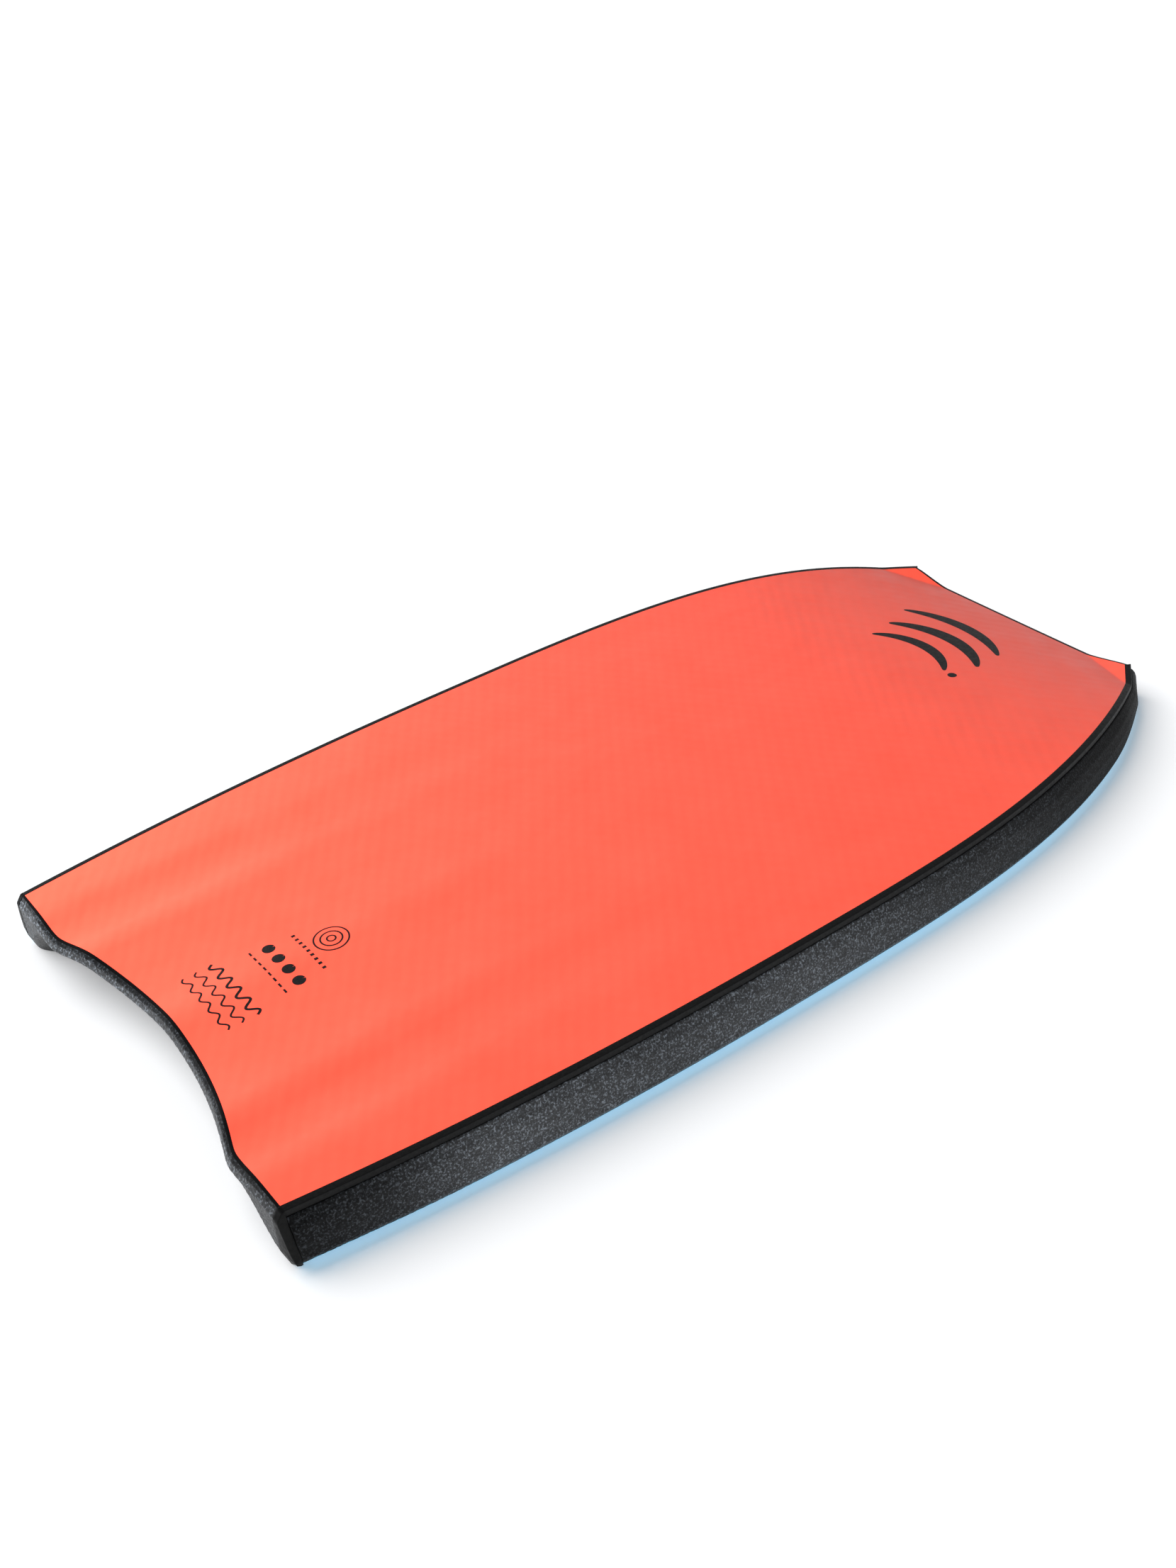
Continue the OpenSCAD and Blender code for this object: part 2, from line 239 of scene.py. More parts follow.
def pebbles(points, size, amount=36, seed=5):
    """Rounded lumps about size across, from plane waves in random directions, from -1 to 1."""
    draw = np.random.default_rng(seed)
    total = np.zeros(len(points))
    for _ in range(amount):
        way = draw.normal(size=3)
        way /= np.linalg.norm(way)
        wave = size * draw.uniform(0.75, 1.35)
        total += np.sin(points @ way * (2 * math.pi / wave) + draw.uniform(0, 2 * math.pi))
    return np.tanh(1.3 * total / math.sqrt(amount / 2))


def vertex_normals(piece):
    mesh = piece.data
    normals = np.empty(len(mesh.vertices) * 3)
    mesh.vertex_normals.foreach_get("vector", normals)
    return normals.reshape(-1, 3)


def push_out(piece, height):
    """Moves each vertex along its normal by height(points), in millimetres."""
    mesh = piece.data
    flat = np.empty(len(mesh.vertices) * 3)
    mesh.vertices.foreach_get("co", flat)
    points = flat.reshape(-1, 3) / MM
    points = points + vertex_normals(piece) * height(points)[:, None]
    mesh.vertices.foreach_set("co", (points * MM).ravel())
    mesh.update()


# ---- materials -----------------------------------------------------------------------------
CELL_SMOOTHNESS = 0.4
WAVE_RATE = 20                          # a wave texture has this many radians to a unit
MIX_FIRST, MIX_SECOND, MIX_RESULT = 6, 7, 2   # the colour sockets of a Mix node


class Shader:
    """A material with a Principled shader and short ways to add its texture nodes."""

    def __init__(self, name, colour, roughness, **values):
        self.material = bpy.data.materials.new(name)
        self.material.use_nodes = True
        self.nodes = self.material.node_tree.nodes
        self.links = self.material.node_tree.links
        self.shader = self.nodes["Principled BSDF"]
        self.shader.inputs["Base Color"].default_value = (*colour, 1)
        self.shader.inputs["Roughness"].default_value = roughness
        for key, value in values.items():
            self.shader.inputs[key.replace("_", " ")].default_value = value
        self.place = self.nodes.new("ShaderNodeTexCoord").outputs["Object"]

    def link(self, start, end):
        self.links.new(start, end)
        return self

    def stretched(self, scale, turn=(0, 0, 0)):
        node = self.nodes.new("ShaderNodeMapping")
        node.inputs["Scale"].default_value = scale
        node.inputs["Rotation"].default_value = turn
        self.link(self.place, node.inputs["Vector"])
        return node.outputs["Vector"]

    def noise(self, size_mm, detail=2.0, rough=0.5):
        node = self.nodes.new("ShaderNodeTexNoise")
        node.inputs["Scale"].default_value = 1000.0 / size_mm
        node.inputs["Detail"].default_value = detail
        node.inputs["Roughness"].default_value = rough
        self.link(self.place, node.inputs["Vector"])
        return node.outputs["Fac"]

    def cells(self, size_mm, feature="F1"):
        node = self.nodes.new("ShaderNodeTexVoronoi")
        node.feature = feature
        node.inputs["Scale"].default_value = 1000.0 / size_mm
        if feature == "SMOOTH_F1":
            node.inputs["Smoothness"].default_value = CELL_SMOOTHNESS
        self.link(self.place, node.inputs["Vector"])
        return node.outputs["Distance"]

    def waves(self, size_mm, vector, distortion=1.0):
        node = self.nodes.new("ShaderNodeTexWave")
        node.inputs["Scale"].default_value = 2 * math.pi * 1000.0 / size_mm / WAVE_RATE
        node.inputs["Distortion"].default_value = distortion
        node.inputs["Detail"].default_value = 1.0
        self.link(vector, node.inputs["Vector"])
        return node.outputs["Fac"]

    def ramp(self, source, *stops):
        """Maps source through (place, colour or grey) stops."""
        node = self.nodes.new("ShaderNodeValToRGB")
        elements = node.color_ramp.elements
        while len(elements) < len(stops):
            elements.new(0.5)
        for element, (where, value) in zip(elements, stops):
            element.position = where
            element.color = (*value, 1) if isinstance(value, tuple) else (value, value, value, 1)
        self.link(source, node.inputs["Fac"])
        return node.outputs["Color"]

    def along(self, *stops):
        """Maps the place along the board, 0 at the tail and 1 at the nose, through stops."""
        split = self.nodes.new("ShaderNodeSeparateXYZ")
        self.link(self.place, split.inputs["Vector"])
        share = self.math("DIVIDE", split.outputs["X"], LENGTH * MM)
        return self.ramp(self.math("ADD", share, 0.5), *stops)

    def math(self, kind, a, b):
        node = self.nodes.new("ShaderNodeMath")
        node.operation = kind
        for k, value in enumerate((a, b)):
            if isinstance(value, (int, float)):
                node.inputs[k].default_value = value
            else:
                self.link(value, node.inputs[k])
        return node.outputs["Value"]

    def bump(self, height, distance_mm, strength=1.0):
        """Adds a bump on top of any earlier one."""
        node = self.nodes.new("ShaderNodeBump")
        node.inputs["Distance"].default_value = distance_mm * MM
        node.inputs["Strength"].default_value = strength
        self.link(height, node.inputs["Height"])
        normal = self.shader.inputs["Normal"]
        if normal.links:
            self.link(normal.links[0].from_socket, node.inputs["Normal"])
        self.link(node.outputs["Normal"], normal)
        return self

    def tinted(self, colour, level):
        """A colour made darker or lighter by a grey level."""
        node = self.nodes.new("ShaderNodeMix")
        node.data_type = "RGBA"
        node.blend_type = "MULTIPLY"
        node.inputs["Factor"].default_value = 1.0
        self.link(colour, node.inputs[MIX_FIRST])
        self.link(level, node.inputs[MIX_SECOND])
        return node.outputs[MIX_RESULT]

    def colour(self, source):
        return self.link(source, self.shader.inputs["Base Color"])

    def roughness(self, source):
        return self.link(source, self.shader.inputs["Roughness"])


def slick_material():
    """Coral film over a woven mesh, which shows as a faint diagonal ripple."""
    m = Shader("slick_film", (0.95, 0.092, 0.05), 0.36, Specular_IOR_Level=0.5)
    cloud = m.noise(60, detail=3)
    m.colour(m.ramp(cloud, (0.25, (0.93, 0.086, 0.046)), (0.75, (0.97, 0.098, 0.055))))
    m.roughness(m.ramp(m.noise(25, detail=2), (0.3, 0.34), (0.7, 0.42)))
    for turn in (0.62, -0.62):
        ripple = m.waves(13.0, m.stretched((1, 1, 1), (0, 0, turn)), distortion=1.5)
        m.bump(ripple, 0.07, 0.8)
    m.bump(m.noise(26, detail=2), 0.6, 0.7)
    m.bump(m.noise(0.8, detail=1), 0.01, 0.5)
    return m.material


def smooth_rail_material(name, grey, shine):
    """Smooth closed-cell foam: near black, with a fine satin grain."""
    m = Shader(name, (grey, grey, grey * 1.05), 0.5, Specular_IOR_Level=shine)
    m.colour(m.ramp(m.noise(2.2, detail=3), (0.3, (grey * 0.7,) * 3), (0.75, (grey * 1.5,) * 3)))
    m.roughness(m.ramp(m.noise(3.0), (0.3, 0.42), (0.7, 0.6)))
    m.bump(m.cells(0.7, "SMOOTH_F1"), 0.05, 0.6)
    m.bump(m.noise(6, detail=1), 0.1, 0.4)
    return m.material


def pebble_material(name, grey, shine, shade=(), speck_mm=2.2, glint_peak=4.4):
    """Pebbled foam skin: painted shade in the dark hollows and painted glints on the small pale bumps
    of the grain.

    shade makes the skin paler or darker along the board, from tail to nose. It copies the
    light and dark along the photographed rail, which the lamps alone didn't give.
    """
    m = Shader(name, (grey, grey, grey), 0.42, Specular_IOR_Level=shine)
    grain = m.math("ADD", m.math("MULTIPLY", m.noise(speck_mm, detail=2.5, rough=0.65), 0.86),
                   m.math("MULTIPLY", m.noise(speck_mm * 3.1, detail=1), 0.14))
    # Painted shade in the low places of the grain, and painted glints several times paler on its high
    # places.
    grain_shade_and_glints = m.ramp(grain, (0.40, (grey * 0.35, grey * 0.35, grey * 0.37)),
                  (0.53, (grey * 0.8, grey * 0.85, grey * 0.92)),
                  (0.64, (grey * glint_peak, grey * glint_peak * 1.09, grey * glint_peak * 1.22)))
    m.colour(grain_shade_and_glints)
    if shade:
        level = m.along(*shade)
        m.colour(m.tinted(grain_shade_and_glints, level))
        m.link(m.math("MULTIPLY", level, shine), m.shader.inputs["Specular IOR Level"])
    m.roughness(m.ramp(m.noise(1.3, detail=2), (0.3, 0.3), (0.75, 0.55)))
    m.bump(grain, 0.5, 0.7)
    m.bump(m.noise(0.9, detail=2), 0.1, 0.6)
    return m.material


def deck_material():
    """Soft light-blue skin of fine closed cells."""
    m = Shader("deck_skin_foam", (0.20, 0.53, 0.74), 0.6)
    m.colour(m.ramp(m.noise(5, detail=4), (0.3, (0.18, 0.50, 0.71)), (0.7, (0.23, 0.57, 0.78))))
    m.roughness(m.ramp(m.noise(2.0), (0.3, 0.5), (0.7, 0.68)))
    m.bump(m.math("MULTIPLY", m.cells(1.3, "SMOOTH_F1"), -1.0), 0.12, 0.6)
    m.bump(m.noise(9, detail=2), 0.12, 0.4)
    return m.material


def ink_material():
    """Matte screen ink, slightly uneven in tone."""
    m = Shader("screen_ink", (0.008, 0.007, 0.008), 0.5, Specular_IOR_Level=0.16)
    m.colour(m.ramp(m.noise(1.6, detail=3), (0.3, (0.006, 0.006, 0.006)), (0.8, (0.016, 0.013, 0.013))))
    m.roughness(m.ramp(m.noise(4), (0.3, 0.42), (0.7, 0.56)))
    m.bump(m.noise(0.9, detail=1), 0.01, 0.5)
    return m.material


def core_material():
    m = Shader("core_bead_foam", (0.84, 0.85, 0.82), 0.7)
    bead = m.cells(3.5)
    m.colour(m.ramp(bead, (0.3, (0.88, 0.89, 0.86)), (0.7, (0.70, 0.71, 0.68))))
    m.bump(m.math("MULTIPLY", bead, -1.0), 0.3, 0.8)
    return m.material


def stringer_material():
    m = Shader("wound_fibre", (0.02, 0.02, 0.022), 0.3, Coat_Weight=0.4)
    wound = m.waves(2.0, m.stretched((1, 1, 1), (0, 0.7, 0)), distortion=0.3)
    m.colour(m.ramp(wound, (0.2, (0.012, 0.012, 0.014)), (0.8, (0.05, 0.05, 0.055))))
    m.bump(wound, 0.05, 0.5)
    return m.material


def plug_material():
    m = Shader("plug_foam", (0.78, 0.77, 0.72), 0.8)
    m.colour(m.ramp(m.noise(1.5, detail=3), (0.3, (0.70, 0.69, 0.64)), (0.7, (0.84, 0.83, 0.78))))
    m.bump(m.noise(1.0, detail=2), 0.1, 0.6)
    return m.material


def net_material():
    m = Shader("woven_net", (0.35, 0.37, 0.38), 0.55)
    along = m.waves(3.0, m.stretched((1, 0, 0)), distortion=0.0)
    across = m.waves(3.0, m.stretched((0, 1, 0), (0, 0, math.pi / 2)), distortion=0.0)
    thread = m.math("MAXIMUM", along, across)
    m.colour(m.ramp(thread, (0.55, (0.22, 0.24, 0.25)), (0.9, (0.55, 0.57, 0.58))))
    m.bump(thread, 0.2, 0.6)
    return m.material


# ---- the skins -----------------------------------------------------------------------------
def board_grid(along, across, level_from_slick=None, level=None):
    """Points of a sheet across the whole board: rows from tail to nose, columns across."""
    s, v = np.meshgrid(along, across, indexing="ij")
    y0 = v * HALF_TAIL
    x_top = mix(tail_edge(y0), nose_edge(v), s)
    y_top = half_width(x_top) * v
    z_top = slick_z(x_top, y_top)
    z = z_top - level_from_slick if level is None else np.full_like(z_top, level)
    lean = undercut(y0) * (z_top - z) / z_top * (1 - ease(s * CORNER_X / LEAN_FADE))
    return np.stack([x_top + lean - MID_X, y_top, z], -1)


def along_steps(step_mm):
    """Even steps along the board, finer over the folded nose corners."""
    body = np.linspace(0, SHOULDER_X - 20, int((SHOULDER_X - 20) / step_mm))
    nose = np.linspace(SHOULDER_X - 20, CORNER_X, 30)
    return np.r_[body, nose[1:]] / CORNER_X


def across_steps(step_mm):
    return np.linspace(-1, 1, 2 * int(HALF_TAIL / step_mm) + 1)


def closed_sheet(name, top, bottom, nodes):
    rows, cols = top.shape[:2]
    points = np.vstack([top.reshape(-1, 3), bottom.reshape(-1, 3)])
    count = rows * cols
    faces = grid_faces(rows, cols, flip=True) + grid_faces(rows, cols, start=count)
    rim = ([i * cols for i in range(rows)] + [(rows - 1) * cols + j for j in range(1, cols)]
           + [i * cols + cols - 1 for i in range(rows - 2, -1, -1)] + list(range(cols - 2, 0, -1)))
    faces += [[a, a + count, b + count, b] for a, b in zip(rim, rim[1:] + rim[:1])]
    return make_piece(name, points, faces, nodes)


def build_slick():
    along, across = along_steps(5.5), across_steps(3.6)
    top = board_grid(along, across, level_from_slick=0.0)
    bottom = board_grid(along, across, level_from_slick=SLICK_T)
    piece = closed_sheet("slick_film_skin", top, bottom, ["slick_skin"])
    sharpen(piece, 40)
    return piece


def side_stations(step_mm):
    body = np.linspace(0, SHOULDER_X - 12, int((SHOULDER_X - 12) / step_mm))
    corner = np.linspace(SHOULDER_X - 12, CORNER_X, 26)
    return np.r_[body, corner[1:]]


def side_frames(stations):
    """Place and outward direction of the left edge at each station."""
    y = half_width(stations)
    slope = (half_width(stations + 4) - half_width(stations - 4)) / 8
    out = np.stack([-slope, np.ones_like(slope)], -1)
    out /= np.linalg.norm(out, axis=1, keepdims=True)
    out[0] = (0, 1)
    turn = ease((stations - SHOULDER_X) / (CORNER_X - SHOULDER_X))[:, None]
    out = mix(out, np.array([1, MITRE]), turn)
    square = ease(stations / 30)[:, None]
    out = mix(np.array([0.0, 1.0]), out, square)
    return np.stack([stations, y], -1), out


def side_rings(stations, profile):
    """Rings of a profile(x) of (outward, z) pairs, along the left edge."""
    places, outs = side_frames(stations)
    rings = []
    for x, p, o in zip(stations, places, outs):
        q = profile(float(x))
        rings.append(np.stack([p[0] + q[:, 0] * o[0] - MID_X, p[1] + q[:, 0] * o[1], q[:, 1]], -1))
    return np.array(rings)


def both_sides(rings, name, nodes):
    """The left piece and its mirror image on the right."""
    made = []
    for side, sign in (("left", 1), ("right", -1)):
        turned = rings * np.array([1, sign, 1])
        made.append(sweep(f"{name}_{side}", turned, [f"{n}_{side}" for n in nodes],
                          flip=sign > 0))
    return made


def inner_profile(x):
    top = float(slick_z(x, half_width(x)))
    return rounded([(0, top, 0.3), (INNER_RAIL, top - 0.45, 1.1),
                    (INNER_RAIL, float(seat_z(x)), 0), (0, DECK_T, 0)])


def outer_corners(x):
    top = float(slick_z(x, half_width(x))) - RAIL_STEP
    r = float(reach(x))
    low = float(apex_z(x)) + APEX_BEVEL_H
    start = INNER_RAIL + BAND_LIP
    lip = top - BAND_LIP_H
    return [(INNER_RAIL, top, 0.6), (start, lip, 2.5),
            (mix(start, r, 0.5), mix(lip, low, 0.25), 8), (mix(start, r, 0.83), mix(lip, low, 0.58), 8),
            (r, low, 1.5), (r - APEX_BEVEL, float(apex_z(x)), 1.0),
            (float(seat(x)), float(apex_z(x)), 0), (INNER_RAIL, float(seat_z(x)), 0)]


def outer_profile(x):
    return resample(rounded(outer_corners(x)), 120)


def rail_grain(points):
    """Height of the rail's pebble: coarse and strong by the tail, nearly flat by the nose."""
    x = points[:, 0] + MID_X
    coarse = 1 - ease((x - 120) / 260)
    deep = mix(0.07, 0.17, coarse) * (1 - 0.8 * ease((x - 700) / 250))
    size = pebbles(points, 4.2) * coarse + pebbles(points, 3.0, seed=8) * (1 - coarse)
    side = np.abs(points[:, 1]) - half_width(x)
    return deep * (size - 0.6) * ease((side - INNER_RAIL) / 3) * ease((points[:, 2] - 8) / 4)


def build_side_rails():
    inner = both_sides(side_rings(side_stations(6), inner_profile), "rail_ledge",
                       ["inner_rail"])
    outer = both_sides(side_rings(side_stations(1.3), outer_profile), "rail_band",
                       ["outer_rail"])
    for piece in outer:
        push_out(piece, rail_grain)
    for piece in inner:
        sharpen(piece, 50)
    return inner, outer


# ---- tail and nose -------------------------------------------------------------------------
BORDER, BORDER_FALL, LIP_FALL, SHOULDER_FALL, FACE_FALL, FOOT_T = 2.2, 0.4, 2.5, 8.0, 10.0, 3.0
CRESCENT_LIP, CORNER_LIP, CRESCENT_OUT, WALL_LOW = 6.0, 3.8, 8.6, 16.0


def tail_profile(y, top, foot):
    c = float(cornering(y))
    out = mix(CRESCENT_OUT, TAIL_REACH, c)
    corners = [(0, top, 0), (BORDER, top - BORDER_FALL, 0.8),
               (mix(CRESCENT_LIP, CORNER_LIP, c), top - LIP_FALL, 2),
               (out, top - SHOULDER_FALL, 4), (out, mix(top - FACE_FALL, WALL_LOW, c), 4),
               (FOOT_T - foot, 0, 0.8), (-foot, 0, 0)]
    return resample(rounded(corners), 150)


def tail_grain(points):
    """Height of the tail band's pebble, which leaves out its border and its foot."""
    y = points[:, 1]
    behind = tail_edge(y) - MID_X - points[:, 0]
    face = ease((behind - BORDER) / 2) * ease((points[:, 2] - 3) / 5)
    return 0.13 * (pebbles(points, 3.4, seed=12) - 0.6) * face


def build_tail_band():
    across = np.linspace(-1, 1, 420)
    top = board_grid(np.array([0.0]), across, level_from_slick=0.0)[0]
    low = board_grid(np.array([0.0]), across, level=0.0)[0]
    rings = []
    for v, p, q in zip(across, top, low):
        y = v * HALF_TAIL
        shape = tail_profile(y, p[2], q[0] - p[0])
        rings.append(np.stack([p[0] - shape[:, 0], np.full(len(shape), y), shape[:, 1]], -1))
    piece = sweep("tail_band_foam", np.array(rings), ["tail_band"], flip=True)
    push_out(piece, tail_grain)
    return piece


def corner_part(a, start, end):
    return float(np.clip((a - start) / (end - start), 0, 1))


def corner_ring(a):
    lip = INNER_RAIL + BAND_LIP
    top = (THICKNESS - 0.5 * corner_part(a, 0, INNER_RAIL)
           - (RAIL_STEP + BAND_LIP_H - 0.5) * corner_part(a, INNER_RAIL, lip)
           - (THICKNESS - RAIL_STEP - BAND_LIP_H - TAIL_APEX - APEX_BEVEL_H)
           * corner_part(a, lip, RAIL_REACH))
    low = TAIL_APEX * corner_part(a, CHINE_FOOT, RAIL_REACH)
    h = top - low
    thin = math.sqrt(1 - 0.6 * (a / RAIL_REACH) ** 2)
    wall = TAIL_REACH * thin
    corners = [(0, top, 0), (BORDER * thin, top - min(BORDER_FALL, 0.05 * h), 0.6),
               (CORNER_LIP * thin, top - min(LIP_FALL, 0.15 * h), 1.5),
               (wall, top - min(SHOULDER_FALL, 0.4 * h), 3),
               (wall, low + min(WALL_LOW, 0.3 * h), 3), (FOOT_T * thin, low, 0.8), (0, low, 0)]
    shape = resample(rounded(corners), 90)
    return np.stack([-MID_X - shape[:, 0], np.full(len(shape), HALF_TAIL + a), shape[:, 1]], -1)


def build_tail_corners():
    offsets = np.linspace(0, 1, 34) ** 0.8 * (RAIL_REACH - 0.6)
    rings = np.array([corner_ring(float(a)) for a in offsets])
    return both_sides(rings, "tail_corner_cap", ["tail_corner"])


def build_nose_rail():
    across = np.linspace(-1, 1, 240)
    top = board_grid(np.array([1.0]), across, level_from_slick=0.0)[0]
    rings = []
    for k, p in enumerate(top):
        side = np.clip((abs(across[k]) - 0.96) / 0.04, 0, 1) * MITRE * np.sign(across[k])
        corners = [(0, p[2], 0), (3.5, p[2] - BORDER_FALL, 1.2), (6.5, p[2] - 7, 5),
                   (NOSE_REACH, 10, 6), (CHINE_FOOT, 0, 1.5), (0, 0, 0)]
        shape = resample(rounded(corners), 60)
        rings.append(np.stack([p[0] + shape[:, 0], p[1] + shape[:, 0] * side, shape[:, 1]], -1))
    return sweep("nose_rail_foam", np.array(rings), ["nose_rail"])


def laid_out(place, out, section, sign):
    """Points of a section set at a place on the left edge, or mirrored with sign -1."""
    x = place[0] + section[:, 0] * out[0] - MID_X
    y = place[1] + section[:, 0] * out[1]
    return np.stack([x, sign * y, section[:, 1]], -1)


def build_deck():
    """The deck skin, one sheet whose edges wrap up round the chines to the outer bands."""
    stations = side_stations(8)
    places, outs = side_frames(stations)
    across = across_steps(9)
    flat_low = board_grid(stations / CORNER_X, across, level=0.0)
    flat_top = board_grid(stations / CORNER_X, across, level=DECK_T)
    rows = []
    for i, x in enumerate(stations):
        x = float(x)
        p, o = places[i], outs[i]
        tip, tip_z = float(reach(x)) - APEX_BEVEL, float(apex_z(x))
        wrap_low = rounded([(0, 0, 0), (CHINE_FOOT, 0, 4), (tip, tip_z, 0.5)])[1:7]
        wrap_low = np.vstack([wrap_low, [[tip - 0.2, tip_z - 0.15]]])
        wrap_top = np.array([[float(seat(x)), float(apex_z(x))]])
        ring = np.vstack([laid_out(p, o, wrap_top, 1), laid_out(p, o, wrap_low[::-1], 1),
                          flat_low[i][::-1], laid_out(p, o, wrap_low, -1),
                          laid_out(p, o, wrap_top, -1), flat_top[i]])
        rows.append(ring)
    return sweep("deck_skin_foam_sheet", np.array(rows),
                 ["deck_skin", "chine_left", "chine_right"])


# ---- the printed marks ---------------------------------------------------------------------
INK_RISE = 0.06   # ink stands this far above the slick


def ribbon(path, widths):
    """Points and faces of a stroke laid on the slick. path is a list of (x, y), x from the tail."""
    path = np.asarray(path, float)
    way = np.gradient(path, axis=0)
    way /= np.linalg.norm(way, axis=1, keepdims=True)
    side = np.stack([-way[:, 1], way[:, 0]], -1)
    across = np.linspace(-0.5, 0.5, 5)
    flat = path[:, None] + side[:, None] * (np.asarray(widths)[:, None] * across)[..., None]
    z = slick_z(flat[..., 0], flat[..., 1]) + INK_RISE
    points = np.concatenate([flat - [MID_X, 0], z[..., None]], -1)
    return points.reshape(-1, 3), grid_faces(len(path), len(across), flip=True)


def arc(centre, radius, start, end, count=40):
    angles = np.radians(np.linspace(start, end, count))
    return np.stack([centre[0] + radius * np.cos(angles), centre[1] + radius * np.sin(angles)], -1)


def wave_line(x, y0, y1, height, crests, count=70):
    y = np.linspace(y0, y1, count)
    return np.stack([x + height * np.sin((y - y0) / (y1 - y0) * crests * 2 * math.pi), y], -1)


def tapered(count, width, ends=0.15):
    t = np.linspace(0, 1, count)
    return width * mix(ends, 1, np.sin(math.pi * t) ** 0.6)


def print_piece(name, strokes):
    points, faces = [], []
    for path, widths in strokes:
        p, f = ribbon(path, np.broadcast_to(widths, len(path)))
        start = sum(len(q) for q in points)
        points.append(p)
        faces += [[k + start for k in face] for face in f]
    return make_piece(name, np.vstack(points), faces)


def build_nose_print():
    """Three nested brush-stroke arcs and a small dot."""
    strokes = []
    for x, y, radius, half_angle, width in ((885, 12, 116, 37, 15), (872, 2, 94, 44, 17),
                                            (858, 6, 72, 48, 14)):
        path = arc((x, y), radius, -half_angle, half_angle, 70)
        strokes.append((path, tapered(len(path), width)))
    strokes.append((arc((905, -60), 2.4, 0, 360, 30), 4.9))
    return print_piece("print_nose", strokes)


def build_tail_print():
    """Small marks one behind another on the centre line: rings, ticks, dots and ripples."""
    strokes = [(arc((187, 1), r, 0, 360, 60), 1.6) for r in (16, 10, 4)]
    strokes += [(np.array([[163, y - 1.5], [163, y + 1.5]]), 3.6) for y in np.linspace(-28, 28, 9)]
    strokes += [(arc((138, y), 3.0, 0, 360, 30), 6.2) for y in (-28, -9.5, 9, 27.5)]
    strokes += [(np.array([[122, y - 2.6], [122, y + 2.6]]), 2.0) for y in np.linspace(-32, 32, 8)]
    strokes += [(wave_line(x, -42, 44, h, n), w) for x, h, n, w in
                ((90, 4.5, 5, 2.6), (75, 3.6, 5, 1.8), (62, 2.8, 5, 1.8))]
    return print_piece("print_tail", strokes)


# ---- assemble ------------------------------------------------------------------------------
def paint(piece, material):
    piece.data.materials.clear()
    piece.data.materials.append(material)


def paint_where(piece, material, test):
    """Gives the faces whose centre passes test(points in mm) another material."""
    mesh = piece.data
    mesh.materials.append(material)
    centres = np.empty(len(mesh.polygons) * 3)
    mesh.polygons.foreach_get("center", centres)
    index = np.zeros(len(mesh.polygons), dtype=np.int32)
    mesh.polygons.foreach_get("material_index", index)
    index[test(centres.reshape(-1, 3) / MM)] = len(mesh.materials) - 1
    mesh.polygons.foreach_set("material_index", index)


def tail_border(points):
    """The smooth rolled edge next to the slick."""
    behind = tail_edge(points[:, 1]) - MID_X - points[:, 0]
    top = slick_z(tail_edge(points[:, 1]), points[:, 1])
    return (behind < BORDER + 0.4) & (points[:, 2] > top - 6)


# The bulge gets paler foam: a painted highlight along it.
def tail_crest_highlight(points):
    """The bulge of the tail band, which the photo shows as a pale strip."""
    top = slick_z(tail_edge(points[:, 1]), points[:, 1])
    fall = top - points[:, 2]
    return (fall > LIP_FALL + 0.8) & (fall < SHOULDER_FALL + 1)


def tail_foot_in_shade(points):
    """The lower, turned-under part of the crescent's wall, given darker foam as painted shade."""
    top = slick_z(tail_edge(points[:, 1]), points[:, 1])
    low = mix(SHOULDER_FALL + 4, 50.0, cornering(points[:, 1]))
    return points[:, 2] < top - low


def paint_node(name, material):
    for node_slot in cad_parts[name].material_slots:
        node_slot.material = material


def build_board():
    smooth_black = smooth_rail_material("rail_smooth_foam", 0.005, 0.14)
    paint(build_slick(), slick_material())
    inner, outer = build_side_rails()
    for piece in inner:
        paint(piece, smooth_black)
    # The stops are painted light and shade along the band, from tail to nose, on its colour and its
    # shine.
    band = pebble_material("rail_pebble_foam", 0.05, 0.45, (
        (0.0, 0.16), (0.07, 0.30), (0.15, 0.85), (0.3, 0.58), (0.45, 0.7), (0.62, 0.34),
        (0.78, 0.12), (0.92, 0.04)), speck_mm=1.8, glint_peak=3.6)
    for piece in outer:
        paint(piece, band)
    corner_black = smooth_rail_material("corner_foam", 0.004, 0.12)
    tail = build_tail_band()
    paint(tail, pebble_material("tail_pebble_foam", 0.022, 0.25))
    # The turned-under foot gets darker foam: painted shade.
    paint_where(tail, pebble_material("tail_foot_in_shade_foam", 0.012, 0.2), tail_foot_in_shade)
    # The crest gets paler foam: a painted highlight.
    paint_where(tail, pebble_material("tail_crest_highlight_foam", 0.05, 0.4), tail_crest_highlight)
    paint_where(tail, corner_black, tail_border)
    for piece in build_tail_corners():
        paint(piece, corner_black)
    paint(build_nose_rail(), smooth_black)
    paint(build_deck(), deck_material())
    ink = ink_material()
    paint(build_nose_print(), ink)
    paint(build_tail_print(), ink)
    for name, material in (("foam_core", core_material()), ("stringer_tube", stringer_material())):
        paint_node(name, material)
    plug, net = plug_material(), net_material()
    for name in ("stringer_tail_plug", "stringer_nose_plug"):
        paint_node(name, plug)
    for name in ("bottom_mesh", "deck_mesh"):
        paint_node(name, net)


# ---- studio --------------------------------------------------------------------------------
FLOOR_HALF = 40.0    # metres


def build_floor():
    points = [(sx * FLOOR_HALF, sy * FLOOR_HALF, 0) for sx, sy in ((-1, -1), (1, -1), (1, 1), (-1, 1))]
    mesh = bpy.data.meshes.new("floor")
    mesh.from_pydata(points, [], [(0, 1, 2, 3)])
    floor = bpy.data.objects.new("floor", mesh)
    bpy.context.collection.objects.link(floor)
    m = Shader("floor_paper", (0.93, 0.94, 0.95), 0.6, Specular_IOR_Level=0.2,
               Emission_Color=(1, 1, 1, 1), Emission_Strength=0.12)
    mesh.materials.append(m.material)
    return floor


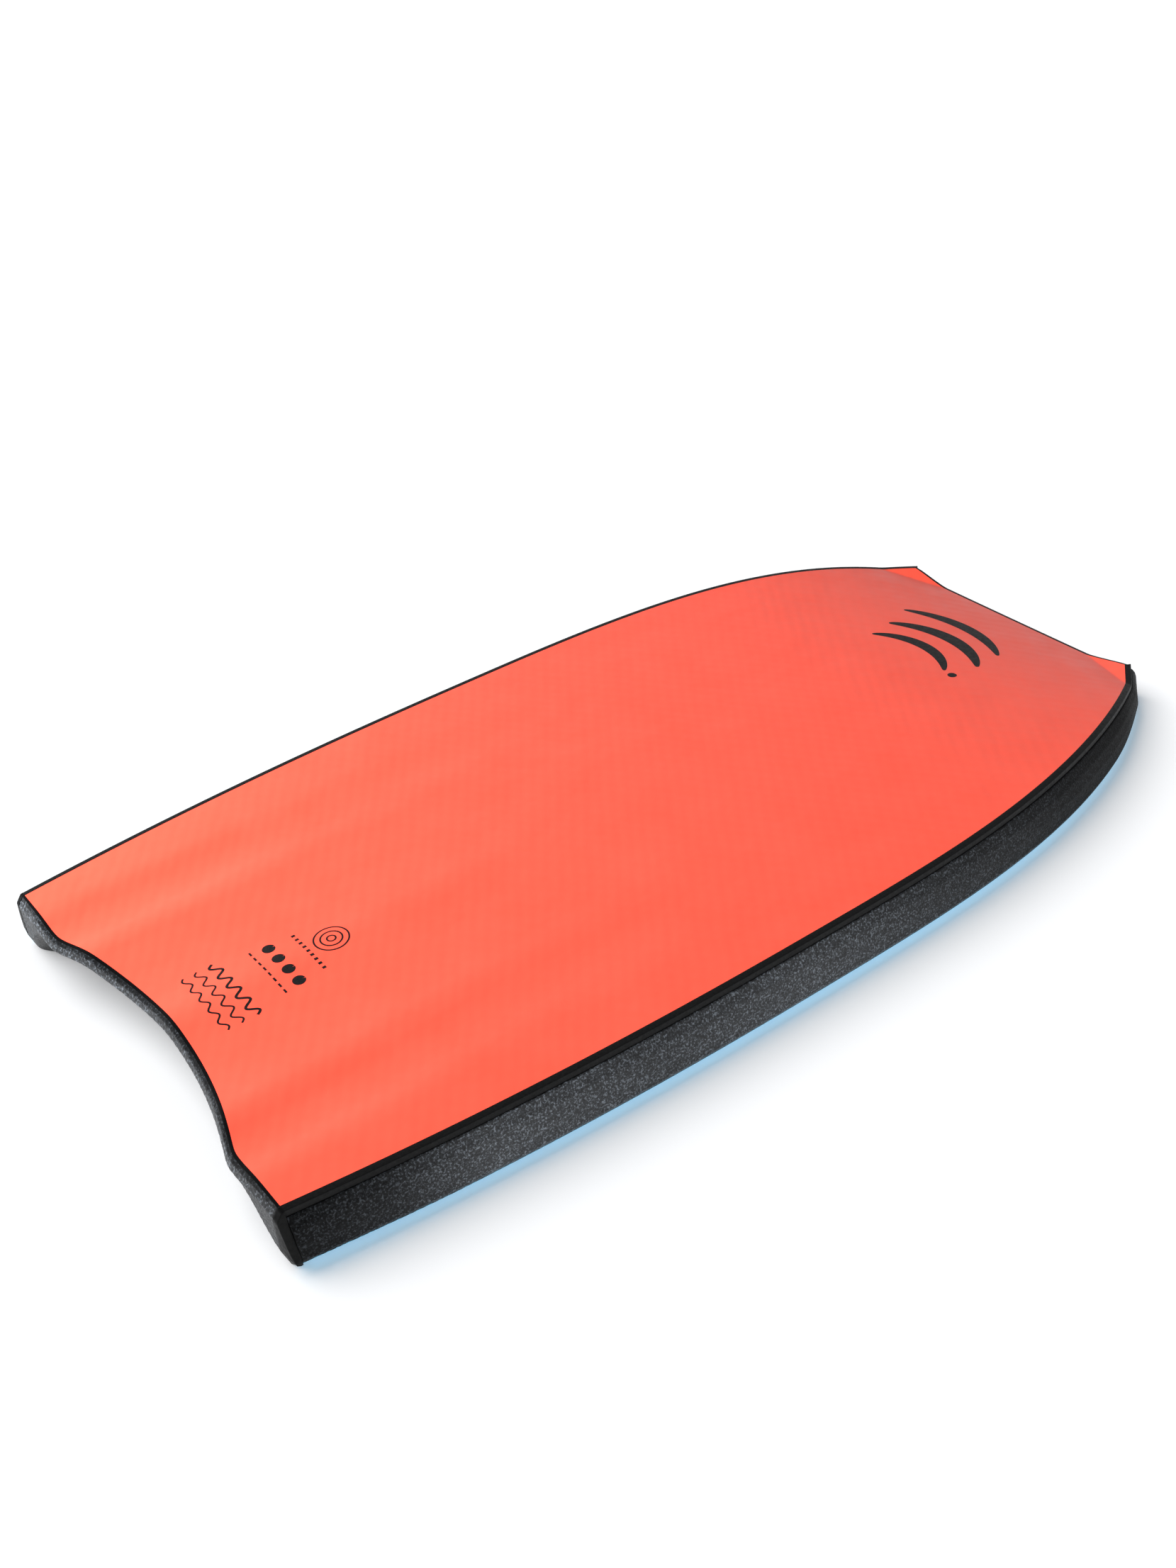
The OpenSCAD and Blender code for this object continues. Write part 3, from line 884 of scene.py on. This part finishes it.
def area_light(name, place, target, size, power, colour=(1, 1, 1)):
    data = bpy.data.lights.new(name, "AREA")
    data.shape = "DISK"
    data.size = size
    data.energy = power
    data.color = colour
    lamp = bpy.data.objects.new(name, data)
    bpy.context.collection.objects.link(lamp)
    lamp.location = place
    lamp.rotation_euler = (Vector(target) - Vector(place)).to_track_quat("-Z", "Y").to_euler()
    return lamp


def lit_only(lamp, name, pieces):
    """Lets a lamp light only these pieces."""
    group = bpy.data.collections.new(name)
    for piece in pieces:
        group.objects.link(piece)
    lamp.light_linking.receiver_collection = group


def build_world():
    """A soft white surround, brightest near the horizon."""
    world = bpy.data.worlds.new("studio")
    bpy.context.scene.world = world
    world.use_nodes = True
    nodes, links = world.node_tree.nodes, world.node_tree.links
    place = nodes.new("ShaderNodeTexCoord")
    split = nodes.new("ShaderNodeSeparateXYZ")
    ramp = nodes.new("ShaderNodeValToRGB")
    ramp.color_ramp.elements[0].position = 0.06
    ramp.color_ramp.elements[0].color = (0.97, 0.97, 0.98, 1)
    ramp.color_ramp.elements[1].position = 0.7
    ramp.color_ramp.elements[1].color = (0.2, 0.2, 0.21, 1)
    links.new(place.outputs["Generated"], split.inputs["Vector"])
    links.new(split.outputs["Z"], ramp.inputs["Fac"])
    links.new(ramp.outputs["Color"], nodes["Background"].inputs["Color"])


def build_light(floor):
    """Each lamp lights only some pieces. The tail pieces have a lamp of their own, because the key
    lamps made them much brighter than the photo shows, and a wide sun lights only the floor."""
    build_world()
    board = [o for o in bpy.context.scene.objects if o.type == "MESH" and o != floor]
    tail = [o for o in board if o.name.startswith("tail_")]
    key = area_light("key", (-2.15, 1.6, 0.98), (-0.1, 0, 0), 0.9, 172)
    lit_only(key, "key_lights", [o for o in board if o not in tail])
    near_key = area_light("near_key", (-0.72, 0.76, 0.46), (-0.35, 0.1, 0), 0.4, 8.8)
    lit_only(near_key, "near_key_lights", [o for o in board if o not in tail])
    tail_glow = area_light("tail_glow", (-0.85, 0.5, 0.24), (-0.53, 0.2, 0), 0.25, 4.5, (0.9, 0.96, 1))
    lit_only(tail_glow, "tail_lights", tail)
    side = area_light("side", (0.15, -1.7, 0.5), (0, -0.3, 0.03), 0.8, 16, (0.9, 0.96, 1))
    lit_only(side, "side_lights", board)
    wash = area_light("wash", (-1.2, 1.4, 2.3), (0, 0, 0), 1.0, 1.0)
    wash.data.type = "SUN"
    wash.data.angle = math.radians(65)
    wash.data.energy = 3.0
    lit_only(wash, "wash_lights", [floor])
    for lamp in (key, near_key, tail_glow, side, wash):
        # Low lamps would glare on the slick from the far side.
        lamp.visible_glossy = False
        lamp.visible_camera = False


def build_camera():
    """Camera at the photograph's viewing angle: right and forward are its own axes in the frame."""
    right = Vector((0.7979, -0.5984, -0.0724)).normalized()
    forward = Vector((0.4608, 0.6829, -0.5668)).normalized()
    up = right.cross(forward).normalized()
    right = forward.cross(up)
    data = bpy.data.cameras.new("camera")
    data.lens = 40.39
    data.clip_end = 50
    camera = bpy.data.objects.new("camera", data)
    bpy.context.collection.objects.link(camera)
    camera.matrix_world = Matrix.Translation((-0.29614 - MID_X * MM, -1.14104, 1.03572)) @ Matrix(
        (right, up, -forward)).transposed().to_4x4()
    bpy.context.scene.camera = camera


build_camera()
build_board()
build_light(build_floor())
bpy.context.scene.view_settings.view_transform = "Standard"
